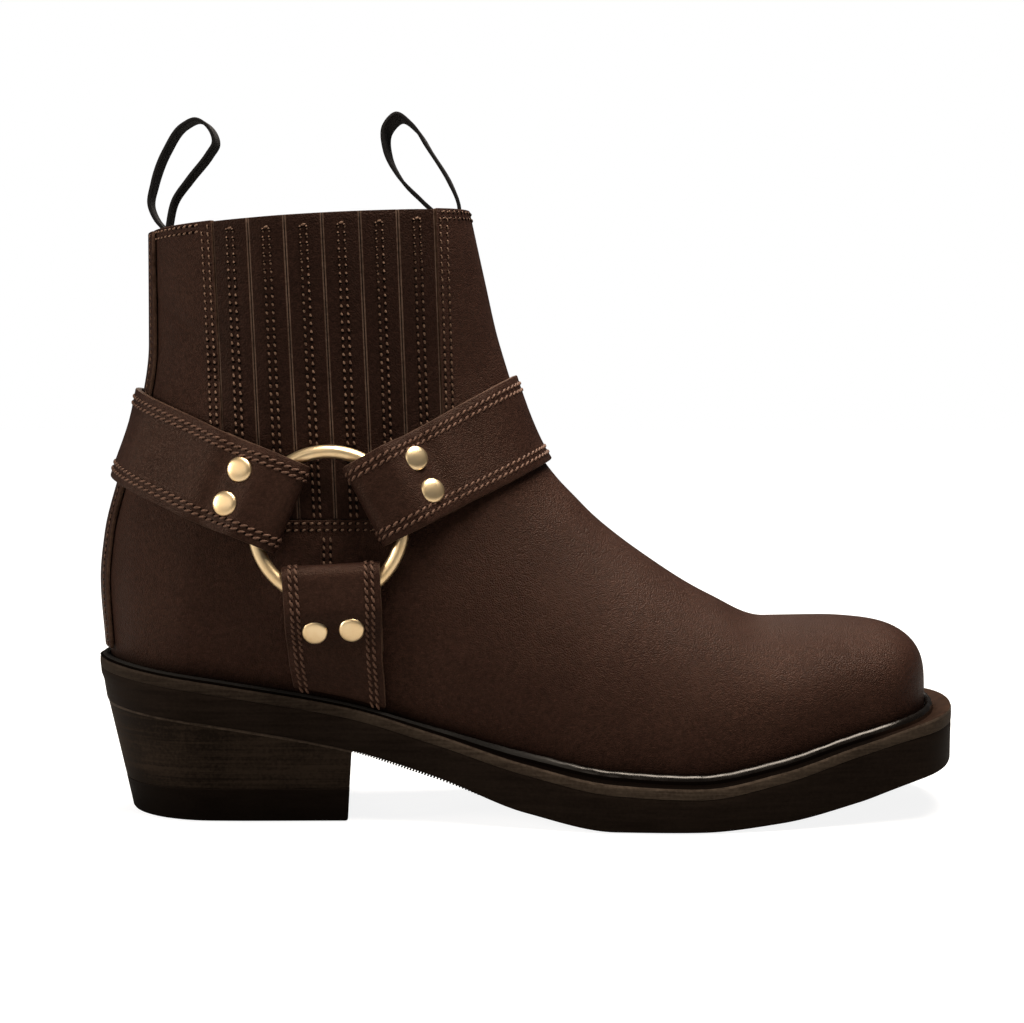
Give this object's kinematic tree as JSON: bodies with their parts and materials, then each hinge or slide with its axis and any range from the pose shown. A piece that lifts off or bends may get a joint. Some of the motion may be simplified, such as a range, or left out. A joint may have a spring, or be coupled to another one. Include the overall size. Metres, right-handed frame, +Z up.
{
  "type": "harness boot",
  "caption": "Short leather harness boot for the right foot: hollow lasted upper, elastic side gores, straps riveted round brass rings, pull loops, welted sole and stacked heel.",
  "frame": {"origin": "middle of the heel's flat rest on the floor", "axes": "+X towards the toe, +Z up, -Y the outer (lateral) side of the boot"},
  "size_m": [0.3004, 0.107, 0.242],
  "materials": {
    "leather": "oiled dark brown, satin",
    "elastic": "woven elastic, black",
    "webbing": "woven ribbon, black",
    "lining": "tan, matt",
    "rubber": "black, matt",
    "welt": "black, polished",
    "heel_stack": "stacked, dark, waxed",
    "brass": "pale, polished"
  },
  "bodies": {
    "boot": {"outsole": "rubber", "heel_lift": "rubber", "welt": "welt", "insole": "lining", "heel_block": "heel_stack", "upper": "leather", "back_stay": "leather", "strap_down_lateral": "leather", "strap_down_medial": "leather", "strap_rear": "leather", "strap_front": "leather", "gore_lateral": "elastic", "gore_medial": "elastic", "gore_strip_lateral_1": "leather", "gore_strip_lateral_2": "leather", "gore_strip_lateral_3": "leather", "gore_strip_lateral_4": "leather", "gore_strip_lateral_5": "leather", "gore_strip_lateral_6": "leather", "rivet_rear_lateral_1": "brass", "rivet_rear_lateral_2": "brass", "rivet_front_lateral_1": "brass", "rivet_front_lateral_2": "brass", "rivet_down_lateral_1": "brass", "rivet_down_lateral_2": "brass", "gore_strip_medial_1": "leather", "gore_strip_medial_2": "leather", "gore_strip_medial_3": "leather", "gore_strip_medial_4": "leather", "gore_strip_medial_5": "leather", "gore_strip_medial_6": "leather", "rivet_rear_medial_1": "brass", "rivet_rear_medial_2": "brass", "rivet_front_medial_1": "brass", "rivet_front_medial_2": "brass", "rivet_down_medial_1": "brass", "rivet_down_medial_2": "brass", "pull_loop_rear": "webbing", "pull_loop_front": "webbing"},
    "ring_lateral": {"ring_lateral": "brass"},
    "ring_medial": {"ring_medial": "brass"}
  },
  "joints": [
    {"name": "ring_lateral_spin", "type": "hinge", "parent": "boot", "child": "ring_lateral", "pos_m": [0.03469, -0.04227, 0.10121], "axis": [0.0435, -0.9961, 0.077], "continuous": true},
    {"name": "ring_medial_spin", "type": "hinge", "parent": "boot", "child": "ring_medial", "pos_m": [0.03472, 0.04124, 0.10114], "axis": [0.0482, 0.9966, 0.0672], "continuous": true}
  ]
}
